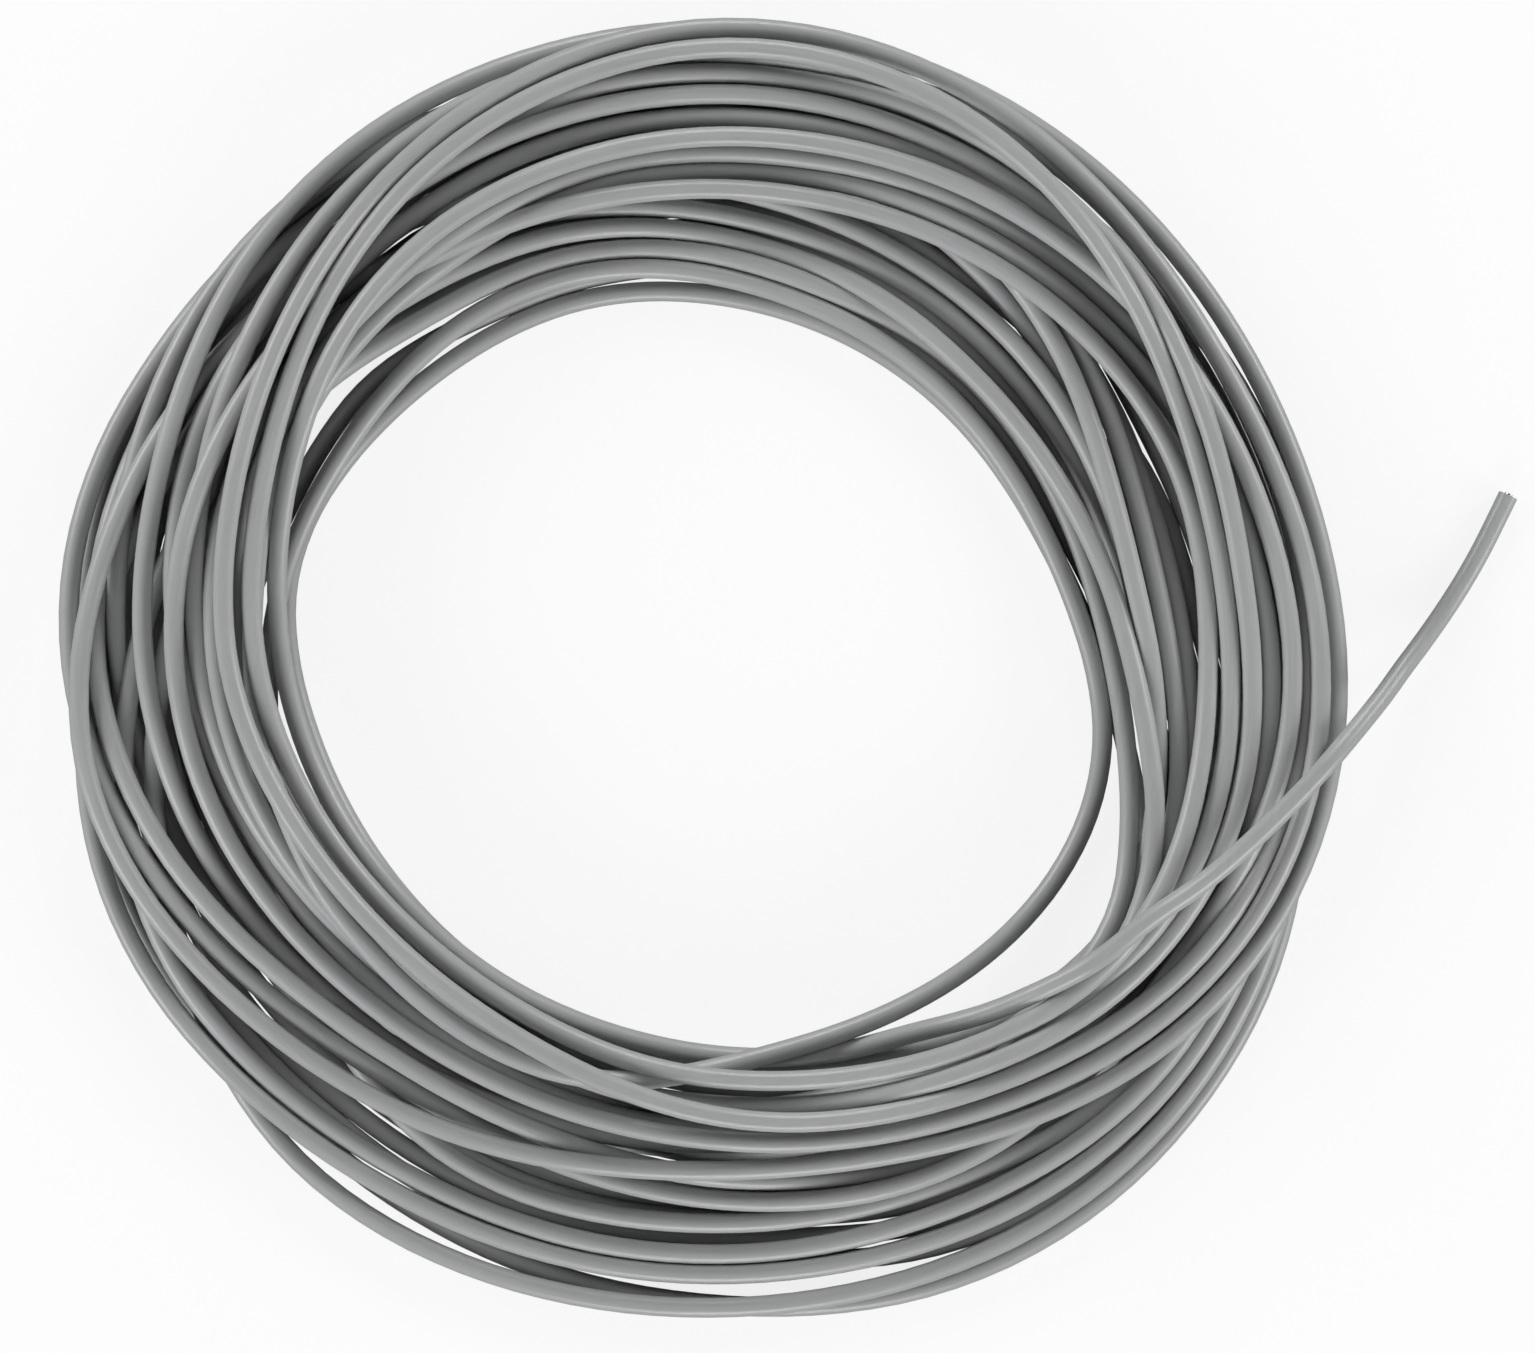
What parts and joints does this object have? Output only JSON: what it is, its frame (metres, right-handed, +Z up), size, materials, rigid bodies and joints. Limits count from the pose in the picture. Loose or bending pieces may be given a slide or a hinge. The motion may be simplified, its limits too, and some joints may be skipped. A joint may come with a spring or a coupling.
{
  "type": "coil of hookup wire",
  "caption": "Loose round coil of grey solid-core hookup wire lying flat, its turns fanned out and crossing each other, with a stray inner turn and a free tail cut square.",
  "frame": {"origin": "middle of the whole wire's footprint, tail included, on the surface it lies on", "axes": "+Z up, square to the flat coil; +X to the side where the tail leaves the coil; +Y to the side that the tail's end points to"},
  "size_m": [0.1174, 0.1042, 0.0089],
  "materials": {
    "insulation": "smooth extruded PVC, satin grey",
    "conductor": "bright tinned copper, cut square"
  },
  "bodies": {
    "root": {"coil_turns": "insulation", "stray_turn": "insulation", "tail_insulation": "insulation", "tail_conductor": "conductor"}
  },
  "joints": []
}
